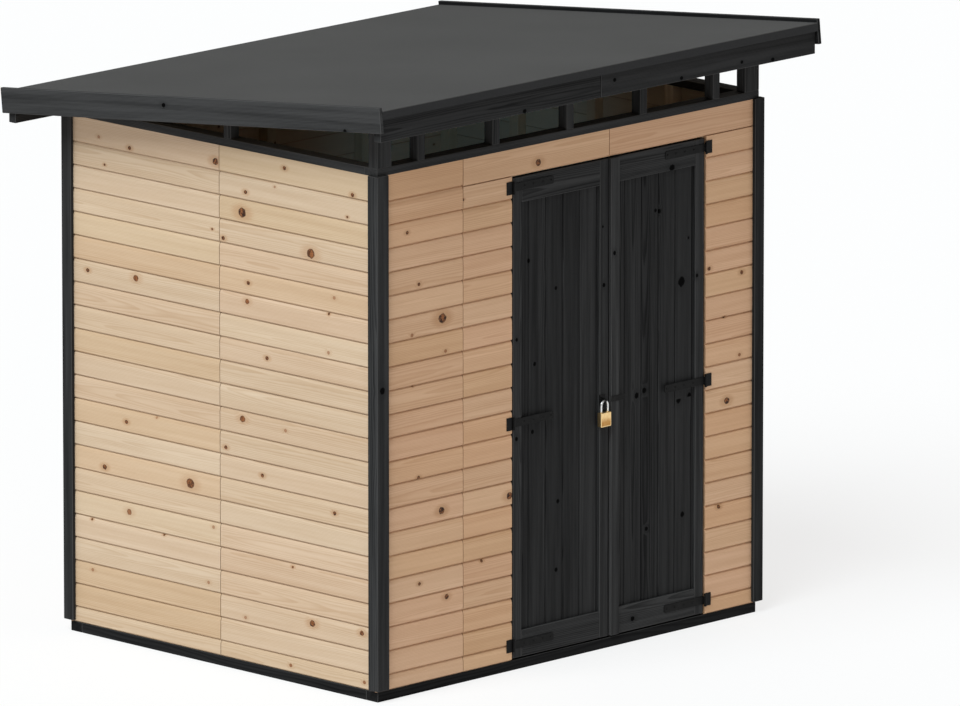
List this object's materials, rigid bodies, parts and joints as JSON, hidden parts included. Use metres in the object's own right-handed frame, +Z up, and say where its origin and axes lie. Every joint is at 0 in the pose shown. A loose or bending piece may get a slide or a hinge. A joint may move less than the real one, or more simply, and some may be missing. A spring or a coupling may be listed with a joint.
{
  "type": "wooden garden shed",
  "caption": "Small garden shed of horizontal pine boards with dark corner trims, hinged double doors, an open strip under the eaves and a mono-pitch felt roof.",
  "frame": {"origin": "on the ground, under the middle of the walls' plan", "axes": "+Z up, the doors face -Y, +X to the right along the doors"},
  "size_m": [2.306, 1.982, 2.2568],
  "materials": {
    "pine_boards": "sawn and oiled",
    "dark_timber": "black stain, grain showing",
    "bare_timber": "planed, untreated",
    "roofing_felt": "mineral felt",
    "black_iron": "black coated steel",
    "brass": "brushed",
    "steel": "bright"
  },
  "bodies": {
    "shed": {"long_bearers": "dark_timber", "side_bearers": "dark_timber", "floor_joists": "dark_timber", "floor_boards": "bare_timber", "front_left_panel": "pine_boards", "front_left_strip": "pine_boards", "front_right_strip": "pine_boards", "front_header": "pine_boards", "left_front_panel": "pine_boards", "left_back_panel": "pine_boards", "right_front_panel": "pine_boards", "right_back_panel": "pine_boards", "back_left_panel": "pine_boards", "back_right_panel": "pine_boards", "wall_studs": "bare_timber", "door_lintel": "bare_timber", "front_top_rail": "dark_timber", "back_top_rail": "dark_timber", "side_top_rails": "dark_timber", "front_left_trim": "dark_timber", "front_right_trim": "dark_timber", "back_left_trim": "dark_timber", "back_right_trim": "dark_timber", "clerestory_posts": "dark_timber", "side_gap_studs": "dark_timber", "front_plate": "dark_timber", "rafters": "bare_timber", "front_beam": "dark_timber", "back_beam": "dark_timber", "left_verge_board": "dark_timber", "right_verge_board": "dark_timber", "roof_deck": "bare_timber", "roof_felt": "roofing_felt", "front_felt_strip": "roofing_felt", "back_felt_strip": "roofing_felt", "hinge_wall_plates": "black_iron"},
    "left_door": {"left_door_boards": "dark_timber", "left_door_stiles": "dark_timber", "left_door_rails": "dark_timber", "left_hinge_straps": "black_iron", "staple": "black_iron", "padlock_body": "brass", "padlock_shackle": "steel"},
    "right_door": {"right_door_boards": "dark_timber", "right_door_stiles": "dark_timber", "right_door_rails": "dark_timber", "right_door_cover_strip": "dark_timber", "right_hinge_straps": "black_iron", "hasp": "black_iron"}
  },
  "joints": [
    {"name": "left_door_hinge", "type": "hinge", "parent": "shed", "child": "left_door", "pos_m": [-0.2995, -0.814, 0.93], "axis": [0, 0, -1], "range_deg": [0, 170]},
    {"name": "right_door_hinge", "type": "hinge", "parent": "shed", "child": "right_door", "pos_m": [0.7135, -0.814, 0.93], "axis": [0, 0, 1], "range_deg": [0, 170]}
  ]
}
